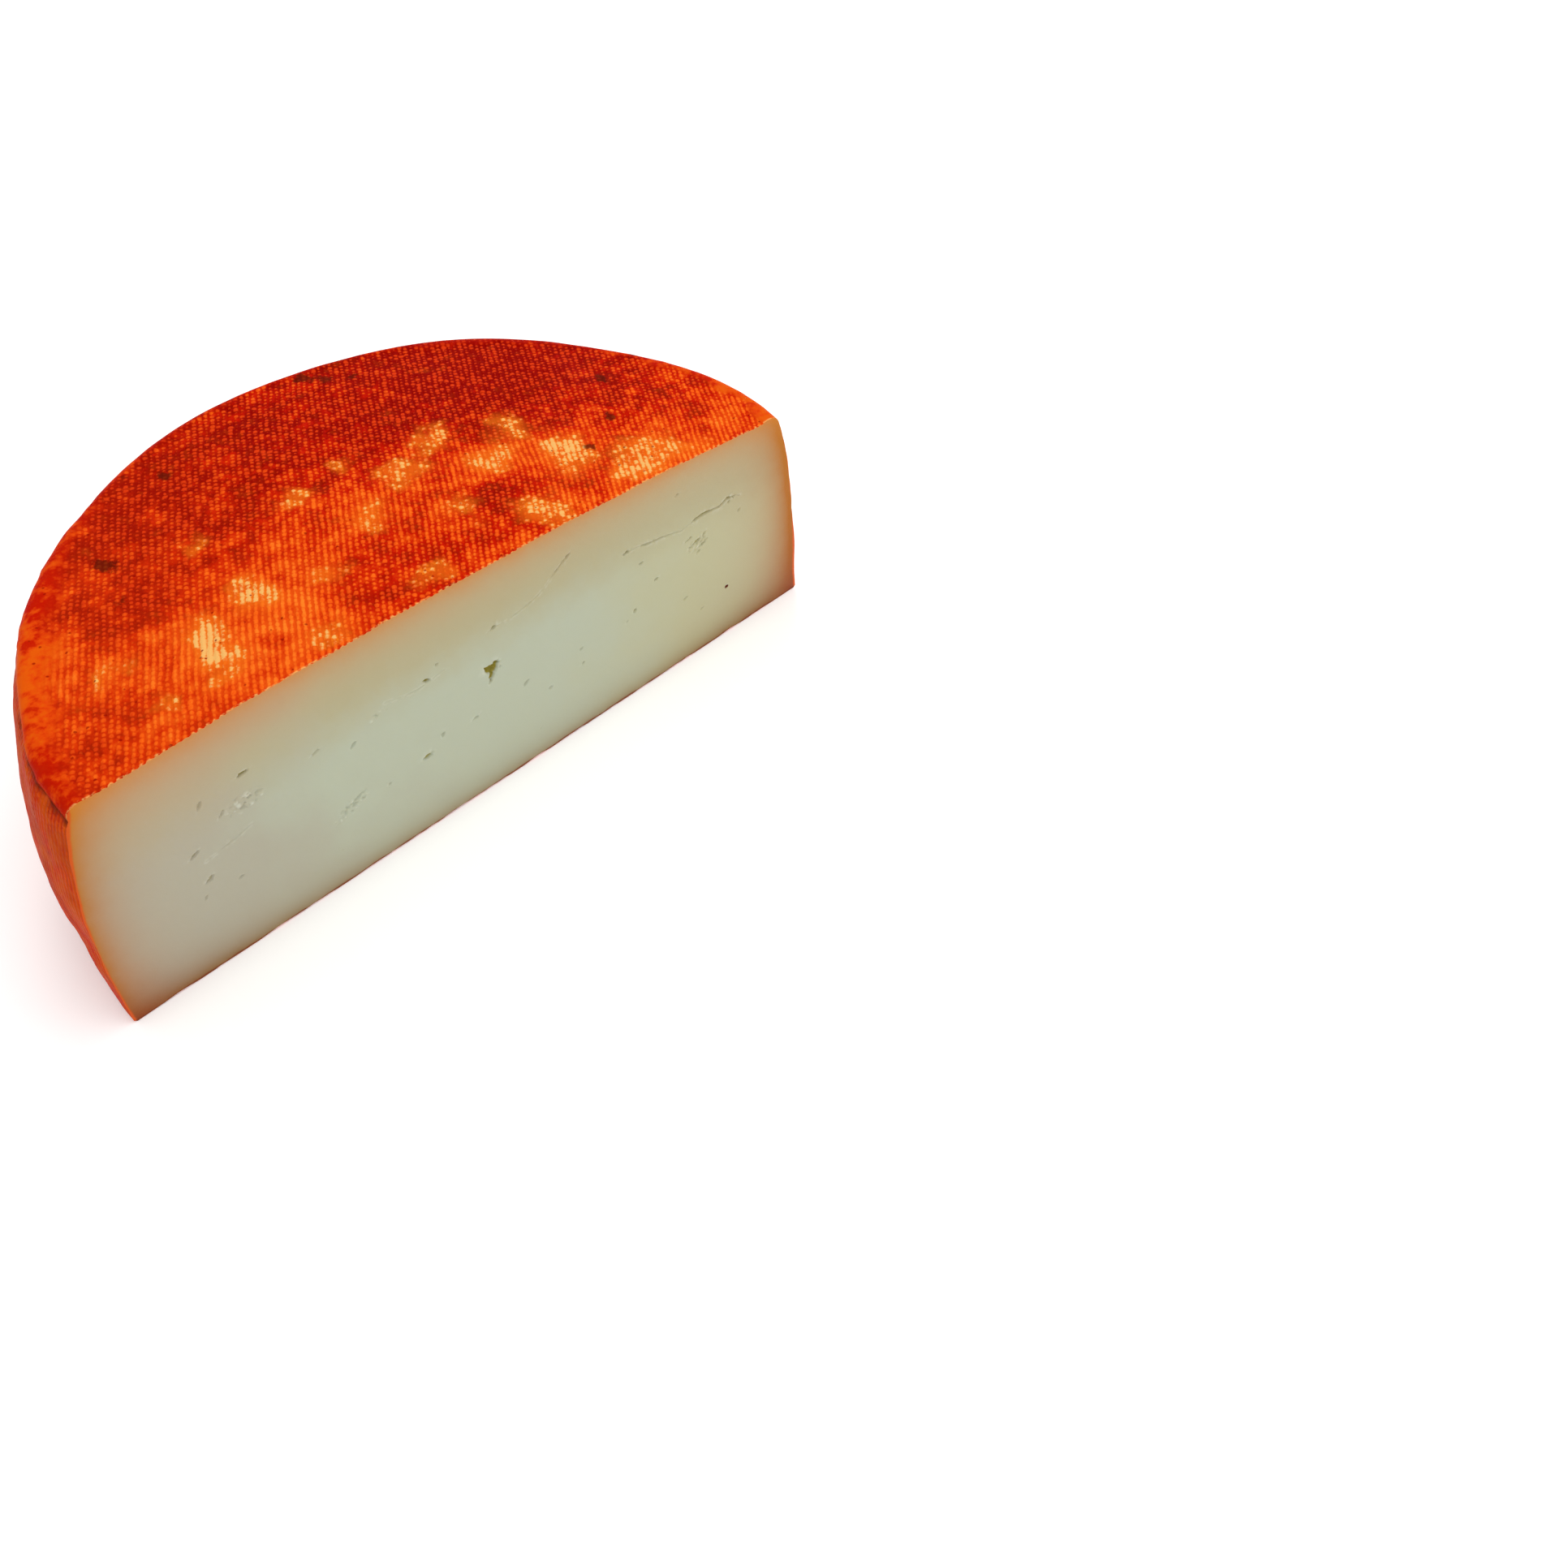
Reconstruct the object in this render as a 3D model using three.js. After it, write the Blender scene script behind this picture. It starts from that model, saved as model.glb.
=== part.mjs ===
// Half of a pressed, cloth-bound cheese wheel, cut straight down through its middle, in millimetres with +Z up.
//
// The half lies on its base. The cut face is a flat upright face that looks along -Y, and the round side
// runs behind it from the right end (angle 0, +X) through the back (+Y) to the left end (angle 180, -X).
// The wheel was turned out of a tapering mould, so it is widest at its foot, and its top is gently crowned.
// The origin is at the middle of the bounding box, on the surface that the half rests on.
import * as THREE from "three";

// Driving dimensions.
const RIM_RADIUS = 105; // from the wheel's axis to the top rim
const FOOT_RADIUS = 114.8; // from the axis to the foot of the side
const RIM_HEIGHT = 72; // of the top rim, on average
const CROWN = 3.8; // how much higher the middle of the top stands than its rim
const CROWN_POWER = 2.5; // how late the crown falls away towards the rim
const RIGHT_DROOP = 1.5; // how far the rim dips at the right end, and rises at the left end
const SIDE_POWER = 2.6; // how late the side leans in on its way up
const RIGHT_LEAN = 1.2; // how much wider the rim is at the right end, and narrower at the left end
const LIP = 1.1; // the foot's outward lip at its strongest, at the right end
const LIP_HEIGHT = 5; // how fast the lip dies out upwards
const SHOULDER = 3.2; // how far the rounding of the rim reaches along the top and down the side
const FOOT_EDGE = 0.7; // the same for the edge of the base

// The hand-turned outline: each wave gives its turns round the whole wheel and its cosine and sine heights.
const OUTLINE_WAVES = [
  { turns: 2, cosine: -1.4, sine: 1.3 },
  { turns: 3, cosine: -0.4, sine: 1.1 },
  { turns: 5, cosine: -0.1, sine: 0.6 },
  { turns: 7, cosine: -0.2, sine: 0.7 },
  { turns: 8, cosine: 0.5, sine: 0.5 },
];
const FOOT_WAVE_SHARE = 0.4; // the foot follows the waves less than the rim does

// How finely the solid is faceted.
const ANGLE_STEPS = 80;
const TOP_RINGS = [0.3, 0.55, 0.75, 0.9];
const SHOULDER_STEPS = 4;
const SIDE_STEPS = 8;

const rindMaterial = new THREE.MeshStandardMaterial({
  name: "rind",
  color: 0xc8380a,
  roughness: 0.55,
  metalness: 0,
});

// How far the outline stands out from a true circle at an angle, at the rim.
function outlineWave(angle) {
  return OUTLINE_WAVES.reduce(
    (sum, w) => sum + w.cosine * Math.cos(w.turns * angle) + w.sine * Math.sin(w.turns * angle),
    0,
  );
}

function rimHeight(angle) {
  return RIM_HEIGHT - RIGHT_DROOP * Math.cos(angle);
}

// Radius of the side at an angle and a share of the height, 0 at the foot and 1 at the rim.
function sideRadius(angle, share) {
  const rim = RIM_RADIUS + RIGHT_LEAN * Math.cos(angle);
  const lean = (FOOT_RADIUS - rim) * share ** SIDE_POWER;
  const wave = outlineWave(angle) * (FOOT_WAVE_SHARE + (1 - FOOT_WAVE_SHARE) * share);
  const lip = (LIP / 2) * (1 + Math.cos(angle)) * Math.exp((-share * RIM_HEIGHT) / LIP_HEIGHT);
  return FOOT_RADIUS - lean + wave + lip;
}

// Height of the crowned top at an angle and a share of the way from the axis to the rim.
function topHeight(angle, share) {
  const tilted = RIM_HEIGHT - share * RIGHT_DROOP * Math.cos(angle);
  return tilted + CROWN * (1 - share ** CROWN_POWER);
}

// The profile at one angle as (radius, height) points, from just off the axis on top, over the shoulder,
// down the side and round the foot to where the base begins.
function profile(angle) {
  const rim = sideRadius(angle, 1);
  const height = rimHeight(angle);
  const topEnd = 1 - SHOULDER / rim;
  const sideEnd = 1 - SHOULDER / height;
  const sideStart = FOOT_EDGE / height;
  const top = TOP_RINGS.map(
    (share) => new THREE.Vector2(share * rim, topHeight(angle, share)),
  );
  const shoulder = new THREE.QuadraticBezierCurve(
    new THREE.Vector2(topEnd * rim, topHeight(angle, topEnd)),
    new THREE.Vector2(rim, height),
    new THREE.Vector2(sideRadius(angle, sideEnd), sideEnd * height),
  ).getPoints(SHOULDER_STEPS);
  const side = Array.from({ length: SIDE_STEPS }, (_, i) => {
    const share = sideEnd + ((sideStart - sideEnd) * (i + 1)) / SIDE_STEPS;
    return new THREE.Vector2(sideRadius(angle, share), share * height);
  });
  const base = new THREE.Vector2(sideRadius(angle, 0) - FOOT_EDGE, 0);
  return [...top, ...shoulder, ...side, base];
}

// One closed surface: the profiles side by side over half a turn, two points on the axis that close the top
// and the base, and the flat cut face across the first and the last profile.
function halfWheelGeometry() {
  const rings = [];
  for (let j = 0; j <= ANGLE_STEPS; j++) {
    const angle = (Math.PI * j) / ANGLE_STEPS;
    rings.push(
      profile(angle).map(
        (p) => new THREE.Vector3(p.x * Math.cos(angle), Math.max(0, p.x * Math.sin(angle)), p.y),
      ),
    );
  }
  const perRing = rings[0].length;
  const points = rings.flat();
  const topMiddle = points.push(new THREE.Vector3(0, 0, topHeight(0, 0))) - 1;
  const baseMiddle = points.push(new THREE.Vector3(0, 0, 0)) - 1;

  const faces = [];
  for (let j = 0; j < ANGLE_STEPS; j++) {
    const here = j * perRing;
    const next = here + perRing;
    faces.push([topMiddle, here, next]);
    for (let i = 0; i < perRing - 1; i++) {
      faces.push([here + i, here + i + 1, next + i + 1], [here + i, next + i + 1, next + i]);
    }
    faces.push([baseMiddle, next + perRing - 1, here + perRing - 1]);
  }

  // The cut's outline, anticlockwise as seen from in front of it.
  const first = Array.from({ length: perRing }, (_, i) => i);
  const last = first.map((i) => ANGLE_STEPS * perRing + i);
  const outline = [baseMiddle, ...first.reverse(), topMiddle, ...last];
  const flat = outline.map((index) => new THREE.Vector2(points[index].x, points[index].z));
  for (const [a, b, c] of THREE.ShapeUtils.triangulateShape(flat, [])) {
    faces.push([outline[a], outline[b], outline[c]]);
  }

  const geometry = new THREE.BufferGeometry().setFromPoints(points);
  geometry.setIndex(faces.flat());
  geometry.computeBoundingBox();
  const middle = geometry.boundingBox.getCenter(new THREE.Vector3());
  geometry.translate(-middle.x, -middle.y, 0);
  geometry.computeVertexNormals();
  return geometry;
}

const halfWheel = new THREE.Mesh(halfWheelGeometry(), rindMaterial);
halfWheel.name = "half_wheel";

const cheese = new THREE.Group();
cheese.add(halfWheel);

export default cheese;
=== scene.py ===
"""Half of a pressed, cloth-bound cheese wheel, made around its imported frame.

The half is one closed surface. Its woven top follows the threads of the press cloth, its side and shoulder
are a profile carried round half a turn, its base is a field of points with shallow hollows, and its cut face
is a field of points with real openings. Shapes are worked out in millimetres about the wheel's axis, with the
cut along X, and placed at the end.
"""

import math
from types import SimpleNamespace

import bmesh
import bpy
import numpy as np
from bpy.props import FloatProperty, FloatVectorProperty, PointerProperty
from mathutils import Matrix, Vector
from mathutils.geometry import delaunay_2d_cdt


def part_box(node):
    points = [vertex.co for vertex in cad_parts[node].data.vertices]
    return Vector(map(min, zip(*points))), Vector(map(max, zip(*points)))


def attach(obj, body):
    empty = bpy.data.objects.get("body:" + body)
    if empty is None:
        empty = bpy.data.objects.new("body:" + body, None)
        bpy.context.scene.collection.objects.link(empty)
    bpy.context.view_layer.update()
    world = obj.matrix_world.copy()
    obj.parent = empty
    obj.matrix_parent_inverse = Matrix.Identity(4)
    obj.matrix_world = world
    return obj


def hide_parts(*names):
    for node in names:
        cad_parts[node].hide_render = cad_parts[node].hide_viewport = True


bl_info = {
    "name": "Half cheese wheel",
    "version": (1, 0, 0),
    "blender": (4, 5, 0),
    "location": "3D View > Sidebar > Cheese",
    "description": "Makes half of a cloth-printed cheese wheel and the studio that it stands in",
    "category": "Add Mesh",
}

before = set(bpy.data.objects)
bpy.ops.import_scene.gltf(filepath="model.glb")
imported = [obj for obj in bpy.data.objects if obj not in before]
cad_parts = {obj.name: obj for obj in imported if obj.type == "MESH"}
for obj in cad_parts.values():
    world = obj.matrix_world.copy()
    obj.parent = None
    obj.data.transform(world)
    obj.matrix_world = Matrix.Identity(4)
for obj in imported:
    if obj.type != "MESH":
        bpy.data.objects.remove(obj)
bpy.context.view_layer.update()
NODE = "half_wheel"
LOW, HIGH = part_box(NODE)
MM = 0.001


def srgb(red, green, blue):
    """A colour of 0 to 255 a channel as Blender's linear numbers."""
    parts = (c / 255 for c in (red, green, blue))
    return tuple(c / 12.92 if c <= 0.04045 else ((c + 0.055) / 1.055) ** 2.4 for c in parts)


# --------------------------------------------------------------------------------------------------
# Sizes and colours that a user may change.


def length(name, description, millimetres):
    """A user's size, given in millimetres and kept in metres."""
    return FloatProperty(
        name=name, description=description, default=millimetres * MM, unit="LENGTH", precision=4
    )


def colour(name, description, red, green, blue):
    """A user's colour, given as 0 to 255 a channel."""
    return FloatVectorProperty(
        name=name, description=description, default=srgb(red, green, blue), size=3, min=0, max=1,
        subtype="COLOR",
    )


class WheelSizes(bpy.types.PropertyGroup):
    """The turned form of the wheel that the half was cut from."""

    rim_radius: length("Rim radius", "From the wheel's axis to the top rim", 105)
    foot_radius: length("Foot radius", "From the axis to the foot of the side", 114.8)
    rim_height: length("Rim height", "Height of the top rim, on average", 72)
    crown: length("Crown", "How much higher the middle of the top stands than its rim", 3.8)
    right_droop: length("Right droop", "How far the rim dips at the right end", 1.5)
    right_lean: length("Right lean", "How much wider the rim is at the right end", 1.2)
    lip: length("Foot lip", "How far the foot stands out at the right end", 1.1)
    shoulder: length("Shoulder", "How far the rounding of the rim reaches", 3.2)


class ClothPrint(bpy.types.PropertyGroup):
    """The print that the woven press cloth left in the rind."""

    pitch: length("Thread pitch", "From one thread of the cloth to the next", 1.517)
    depth: length("Print depth", "From the bead tops to the grooves", 0.55)
    rib_angle: FloatProperty(
        name="Rib angle", description="Way that the ribs run, from the cut", default=math.radians(61),
        unit="ROTATION",
    )


class CheeseColours(bpy.types.PropertyGroup):
    """Colours of the rubbed rind and of the paste."""

    darkest: colour("Darkest groove", "Grooves where the red rub has gathered thickest", 138, 3, 0)
    dark: colour("Dark groove", "Grooves at the rub's usual strength", 190, 20, 1)
    groove: colour("Light groove", "Grooves where the rub is thin", 217, 68, 8)
    # Bead colours: the rind's own orange, lighter than the grooves partly as a painted highlight on the bead
    # tops.
    bead_dark: colour("Dark bead", "Tops of the beads where the rub is thickest", 210, 54, 12)
    bead: colour("Bead", "Tops of the beads at the rub's usual strength", 237, 94, 18)
    bead_light: colour("Light bead", "Tops of the beads where the rub is thin", 241, 124, 34)
    gold: colour("Worn groove", "Grooves where the rub has worn away", 226, 108, 20)
    tan: colour("Worn rind", "Bare rind where the rub has worn away", 230, 174, 98)
    rim: colour("Shoulder", "The smooth shoulder round the rim", 218, 86, 8)
    side: colour("Side", "The smooth side", 194, 76, 12)
    side_dark: colour("Side blotches", "Dark blotches on the side", 146, 34, 4)
    stain: colour("Stain", "Brown spots on the rind", 88, 18, 4)
    # The crease's dark colour is partly rub gathered in it and partly painted shade under the rim; it also
    # colours the cut's dark specks.
    crease: colour("Crease", "The dark crease under the rim", 96, 26, 6)
    paste: colour("Paste", "Cool pale paste in the middle of the cut", 178, 183, 161)
    paste_left: colour("Beige paste", "Duller paste of the left third", 172, 168, 149)
    paste_right: colour("Cream paste", "Creamier paste of the right third", 182, 179, 144)
    paste_warm: colour("Warm paste", "Paste under the top's rind", 174, 168, 134)
    paste_glow: colour("Glow", "The rub's orange just under the top's rind", 202, 118, 16)
    paste_end: colour("End paste", "The rub's brown behind the side's rind", 176, 104, 6)
    # Brown along the base: partly the rub's tint, partly painted shade.
    paste_foot_tint_and_shade: colour("Foot paste", "Brownish paste along the base", 132, 98, 40)
    paste_corner: colour("Corner paste", "Orange brown of the lower corners", 140, 56, 5)
    rind_line: colour("Rind line", "The thin rind seen in the cut", 204, 80, 4)
    foot_line: colour("Foot line", "The darker rind along the base", 118, 48, 14)
    # Paler torn paste beside the openings, partly a painted highlight on their raised lips.
    torn: colour("Torn paste", "Fresh torn paste beside the openings", 206, 207, 192)
    # The openings' olive lining, darkened with their depth as painted shade.
    hollow_lining_and_shade: colour("Hollow", "Inside of the largest opening", 158, 146, 62)


class Studio(bpy.types.PropertyGroup):
    """The floor and the light."""

    floor: colour("Floor", "White floor", 255, 255, 255)
    sky: FloatProperty(name="Sky", description="Strength of the even light from all round", default=0.76)
    key: FloatProperty(name="Key", description="Power of the lamp overhead", default=7.6, unit="POWER")
    back: FloatProperty(name="Back", description="Power of the lamp behind", default=5.0, unit="POWER")


# --------------------------------------------------------------------------------------------------
# Numbers over a surface.


def smooth(t):
    """0 below 0, 1 above 1, and a smooth S between."""
    t = np.clip(t, 0, 1)
    return t * t * (3 - 2 * t)


def rise(x, low, high):
    """0 below low, 1 above high, and a smooth S between."""
    return smooth((x - low) / (high - low))


def bell(x, middle, width):
    """1 at the middle, falling off evenly on both sides, to about a third at a width away."""
    return np.exp(-(((x - middle) / width) ** 2))


LATTICE = 64  # random values along each side of a cloud's lattice, which then repeats
LATTICE_START = (31.7, 17.3)  # the lattice place of the origin, away from a corner


def cloud(x, y, size, seed):
    """Smooth random numbers from -1 to 1: a square lattice of random values, size apart, and in each of
    its cells the four corners mixed by S-shaped shares."""
    table = np.random.default_rng(seed).uniform(-1, 1, (LATTICE, LATTICE))
    u, v = np.asarray(x) / size + LATTICE_START[0], np.asarray(y) / size + LATTICE_START[1]
    i, j = np.floor(u).astype(int), np.floor(v).astype(int)
    a, b = smooth(u - i), smooth(v - j)
    i, j, next_i, next_j = i % LATTICE, j % LATTICE, (i + 1) % LATTICE, (j + 1) % LATTICE
    near = (1 - a) * table[i, j] + a * table[next_i, j]
    far = (1 - a) * table[i, next_j] + a * table[next_i, next_j]
    return (1 - b) * near + b * far


def blobs(x, y, places):
    """Soft bumps added up: each place is (x, y, half width, half depth, height), and a bump falls off
    as a bell."""
    total = np.zeros(np.shape(x))
    for cx, cy, wide, deep, tall in places:
        total += tall * np.exp(-(((x - cx) / wide) ** 2 + ((y - cy) / deep) ** 2))
    return total


# --------------------------------------------------------------------------------------------------
# The wheel's form, in millimetres about its axis. These formulas are the same as the solid's.

# Waves of the hand-made outline: (waves to a whole turn, height of the cosine, height of the sine).
OUTLINE_WAVES = ((2, -1.4, 1.3), (3, -0.4, 1.1), (5, -0.1, 0.6), (7, -0.2, 0.7), (8, 0.5, 0.5))
FOOT_WAVE_SHARE = 0.4  # how much of the waves is left at the foot
SIDE_POWER = 2.6  # how late the side begins to lean in
CROWN_POWER = 2.5  # how late the crown begins to fall
LIP_HEIGHT = 5
FOOT_EDGE = 0.7  # width and height of the bevel round the base


def measures(scene):
    """The user's sizes in millimetres."""
    sizes, cloth = scene.cheese_sizes, scene.cheese_cloth
    found = {k: getattr(sizes, k) / MM for k in WheelSizes.__annotations__}
    found.update(pitch=cloth.pitch / MM, depth=cloth.depth / MM, rib_angle=cloth.rib_angle)
    return SimpleNamespace(**found)


def side_radius(m, angle, share):
    """Radius at an angle and a share of the height: the foot's radius less a lean that grows as a power
    of the share, plus the hand-turned waves, plus a lip that dies out above the foot."""
    rim = m.rim_radius + m.right_lean * np.cos(angle)
    waves = sum(c * np.cos(n * angle) + s * np.sin(n * angle) for n, c, s in OUTLINE_WAVES)
    lean = (m.foot_radius - rim) * share**SIDE_POWER
    lip = m.lip / 2 * (1 + np.cos(angle)) * np.exp(-share * m.rim_height / LIP_HEIGHT)
    return m.foot_radius - lean + waves * (FOOT_WAVE_SHARE + (1 - FOOT_WAVE_SHARE) * share) + lip


def top_height(m, x, y):
    """Height of the crowned top: the rim's height, tilted down towards the right, plus a crown that
    falls away as a power of the share of the way from the axis to the rim."""
    angle = np.arctan2(y, x)
    share = np.hypot(x, y) / side_radius(m, angle, 1.0)
    return m.rim_height - share * m.right_droop * np.cos(angle) + m.crown * (1 - share**CROWN_POWER)


def rim_height(m, angle):
    """Height of the rim, which droops towards the right."""
    return m.rim_height - m.right_droop * np.cos(angle)


def field_radius(m, angle):
    """Radius at which the top ends and the shoulder begins."""
    return side_radius(m, angle, 1.0) - m.shoulder


# --------------------------------------------------------------------------------------------------
# The cloth's print.

SETTLE_STEPS = 5  # rounds after which a thread place no longer moves
BEAD_TABLE = 256  # beads along each side of the table of their heights, which then repeats
EVEN_PRINT = 0.62  # height of the print, from 0 to 1, that smooth rind stands for
LEFT_BARE = 2.72  # way round, in radians, of the middle of the smooth stretch at the left
LEFT_RAGGED = 2.7  # way round of the place where that stretch fades out most slowly


def drift(p, q):
    """How far the cloth has slid from a straight weave at a thread place, along X and along Y."""
    return (
        1.1 * cloud(p, q, 47, 11) + 0.25 * cloud(p, q, 14, 12) + 0.16 * cloud(p, q, 3.6, 15),
        1.1 * cloud(p, q, 43, 13) + 0.25 * cloud(p, q, 15, 14) + 0.16 * cloud(p, q, 3.3, 16),
    )


def to_wheel(m, p, q):
    """Where a thread place lies: p is counted across the ribs and q along them, turned to the rib
    angle, plus the drift of the cloth."""
    c, s = math.cos(m.rib_angle), math.sin(m.rib_angle)
    dx, dy = drift(p, q)
    return p * s + q * c + dx, q * s - p * c + dy


def to_threads(m, x, y):
    """The thread place of a point, by taking the drift away a few times over until it settles."""
    c, s = math.cos(m.rib_angle), math.sin(m.rib_angle)
    p, q = x * s - y * c, x * c + y * s
    for _ in range(SETTLE_STEPS):
        dx, dy = drift(p, q)
        u, v = x - dx, y - dy
        p, q = u * s - v * c, u * c + v * s
    return p, q


def cloth_print(m, x, y):
    """Height of the print, from 0 in a groove to 1 on a bead. Ribs run side by side, one pitch apart,
    each a raised cosine across. Each is broken into beads, raised cosines along it, half a bead out
    of step with the next rib's as a plain weave presses them, and every bead has its own height."""
    p, q = to_threads(m, x, y)
    rib = np.round(p / m.pitch)
    along = q / m.pitch + rib / 2
    bead = np.round(along)
    heights = np.random.default_rng(21).uniform(0.1, 1, (BEAD_TABLE, BEAD_TABLE))
    height = heights[rib.astype(int) % BEAD_TABLE, bead.astype(int) % BEAD_TABLE]
    across = (0.5 + 0.5 * np.cos(2 * np.pi * p / m.pitch)) ** 0.85
    broken = np.clip(0.42 + 0.38 * rise(0.5 * x + 0.9 * y, -20, 50) + 0.2 * cloud(x, y, 26, 22), 0.2, 0.88)
    return across * (1 - broken * (1 - (0.5 + 0.5 * np.cos(2 * np.pi * along)) * height))


def smooth_ring(m, x, y):
    """How smooth the rind is, from 0 in the woven field to 1 on the shoulder. The smooth ring is widest
    at the left, where the cloth didn't reach the rim."""
    angle = np.arctan2(y, x)
    inwards = field_radius(m, angle) - np.hypot(x, y)
    width = 0.2 + 4.5 * bell(angle, LEFT_BARE, 0.36) + 1.0 * bell(angle, 0, 0.5)
    spread = 0.9 + 3.2 * bell(angle, LEFT_RAGGED, 0.5)
    ragged = inwards + 1.8 * cloud(x, y, 7, 24) + 0.8 * cloud(x, y, 2.4, 26)
    return 1 - rise(ragged, width - spread, width + spread)


def print_strength(m, x, y):
    """How deep the print is, from 0 to 1, with faint patches where the cloth pressed lightly."""
    pressed = 0.8 + 0.3 * cloud(x, y, 17, 25) + 0.32 * cloud(x, y, 4.6, 27)
    return (1 - smooth_ring(m, x, y)) * np.clip(pressed, 0.25, 1)


def top_relief(m, x, y):
    """The finished top: the crowned form, broad dents, and the print, whose grooves are sunk below the
    form."""
    dents = 0.22 * cloud(x, y, 24, 31) + 0.12 * cloud(x, y, 8, 32) - 0.3
    inwards = rise(field_radius(m, np.arctan2(y, x)) - np.hypot(x, y), 0, 6)
    sunk = m.depth * print_strength(m, x, y) * (cloth_print(m, x, y) - 1)
    return top_height(m, x, y) + dents * inwards + sunk


# --------------------------------------------------------------------------------------------------
# The surface, patch by patch. A patch is its points, in rows of (x, y, z), and its faces, and neighbouring
# patches repeat their shared edge exactly, so that the patches close into one body when they are joined.

TOP, SIDE, BASE, CUT = range(4)  # the patches, in the order that they are joined in
COLUMNS = 300  # steps round the half turn
SHOULDER_ROWS = 7
SIDE_ROWS = 50
FADE_ROWS = 3  # rows above the base over which the side's relief dies out
ACROSS_STEPS, ALONG_STEPS = 4, 2  # points to a thread, across the ribs and along them
EDGE_GAP = 0.28  # mm between the woven grid and the edge that it is joined to
KNIFE_SAMPLES = 8001  # places tried along the knife, to find where the weave's steps cross it
BASE_STEP = 4.0
BASE_GAP = 2.6  # mm between the foot's outline and the nearest of the base's inner points
BASE_LINE_STEP = 1.0
CUT_STEP = 1.45
FINE_STEP = 0.3
CUT_GAP = 0.6  # mm between the cut's outline and the nearest of its inner points
HOLLOW_ROOM = 0.9  # mm kept free above the base, whose hollows rise into the cut's outline
SMALLEST_AREA = 1e-9

# Folds down the side: (place round, in mm from the right end, lean, height).
FOLDS = (
    (38, 0.1, 0.5), (71, -0.2, 0.4), (112, 0.05, 0.6), (163, 0.25, 0.45), (205, -0.12, 0.55),
    (259, 0.15, 0.5), (301, -0.05, 0.4), (338, 0.1, 0.35),
)


def grid_faces(rows, columns):
    """Four-sided faces of a grid of points, stored row by row."""
    i = np.arange(rows * columns).reshape(rows, columns)
    return np.stack([i[:-1, :-1], i[:-1, 1:], i[1:, 1:], i[1:, :-1]], -1).reshape(-1, 4)


def side_relief(m, angle, height):
    """How far the side stands out from its turned form, in millimetres: broad dents, small dimples, the
    folds that the cloth left, which lean a little as they go down, and the crease that the cloth's
    edge pressed just under the rim."""
    along = angle * m.foot_radius
    dents = 0.55 * cloud(along, height, 26, 41) + 0.45 * cloud(along, height * 0.8, 9, 42)
    dimples = 0.14 * cloud(along, height, 3.2, 43)
    folds = np.zeros(np.shape(along))
    for place, lean, tall in FOLDS:
        wander = 1.2 * cloud(height, 0 * height, 14, place)
        fading = 0.6 + 0.4 * cloud(height, 0 * height, 17, place + 1)
        folds += tall * bell(along - place - lean * height - wander, 0, 1.3) * fading
    return dents - 0.3 + dimples + folds - 0.7 * crease(m, angle, height)


def crease(m, angle, height):
    """Strength of the crease under the rim, from 0 to 1: a narrow bell round a line that wanders in
    height, deeper towards the left end."""
    along = angle * m.foot_radius
    line = rim_height(m, angle) - 3.1 + 0.5 * cloud(along, 0 * along, 22, 44)
    strength = 0.3 + 0.7 * rise(angle, 2.0, 2.8) + 0.25 * cloud(along, 0 * along, 31, 45)
    return bell(height, line, 1.3) * np.clip(strength, 0, 1)


def side_patch(m):
    """The shoulder and the side. Each column is one profile: a parabola that rounds the rim, whose ends
    lie on the top and on the side and whose corner is the rim's own, then the leaning side, then the
    edge of the base."""
    angle = np.linspace(0, math.pi, COLUMNS + 1)
    rim, rim_z = side_radius(m, angle, 1.0), rim_height(m, angle)
    inner = field_radius(m, angle)
    side_end, side_start = 1 - m.shoulder / rim_z, FOOT_EDGE / rim_z
    t = np.linspace(0, 1, SHOULDER_ROWS)[:, None]
    inner_height = top_height(m, inner * np.cos(angle), inner * np.sin(angle))
    a, b, c = (1 - t) ** 2, 2 * t * (1 - t), t**2
    shoulder_r = a * inner + b * rim + c * side_radius(m, angle, side_end)
    shoulder_z = a * inner_height + b * rim_z + c * side_end * rim_z
    share = side_end + (side_start - side_end) * np.linspace(0, 1, SIDE_ROWS + 1)[1:, None]
    foot_r = side_radius(m, angle, 0.0)[None] - FOOT_EDGE
    r = np.concatenate([shoulder_r, side_radius(m, angle, share), foot_r])
    z = np.concatenate([shoulder_z, share * rim_z, 0 * foot_r])
    row = np.arange(len(r))[:, None]
    hold = rise(row, 0, SHOULDER_ROWS - 1) * rise(len(r) - 1 - row, 0, FADE_ROWS)
    r = r + hold * side_relief(m, angle[None] + 0 * r, z)
    points = np.stack([r * np.cos(angle), r * np.sin(angle), z], -1)
    points[:, [0, -1], 1] = 0
    return points, grid_faces(*r.shape)


def open_edges(faces):
    """The edges of four-sided faces that only one face has."""
    edges = np.stack([faces, np.roll(faces, -1, 1)], -1).reshape(-1, 2)
    size = edges.max() + 1
    forth, back = edges[:, 0] * size + edges[:, 1], edges[:, 1] * size + edges[:, 0]
    return edges[~np.isin(forth, back)]


def ring(first, count):
    """Edges that join count points, from first on, into a closed loop."""
    i = np.arange(count)
    return np.stack([first + i, first + (i + 1) % count], -1)


def fill_between(points, edges):
    """Triangles, anticlockwise, that fill the flat strip between an outer and an inner loop of
    edges."""
    used, places = np.unique(edges, return_inverse=True)
    mesh = bmesh.new()
    corners = [mesh.verts.new((x, y, 0)) for x, y in points[used]]
    lines = [mesh.edges.new((corners[a], corners[b])) for a, b in places.reshape(-1, 2)]
    mesh.verts.index_update()
    bmesh.ops.triangle_fill(mesh, use_beauty=True, use_dissolve=False, edges=lines, normal=(0, 0, 1))
    faces = used[np.array([[v.index for v in f.verts] for f in mesh.faces])]
    mesh.free()
    return anticlockwise(points, faces)


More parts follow.
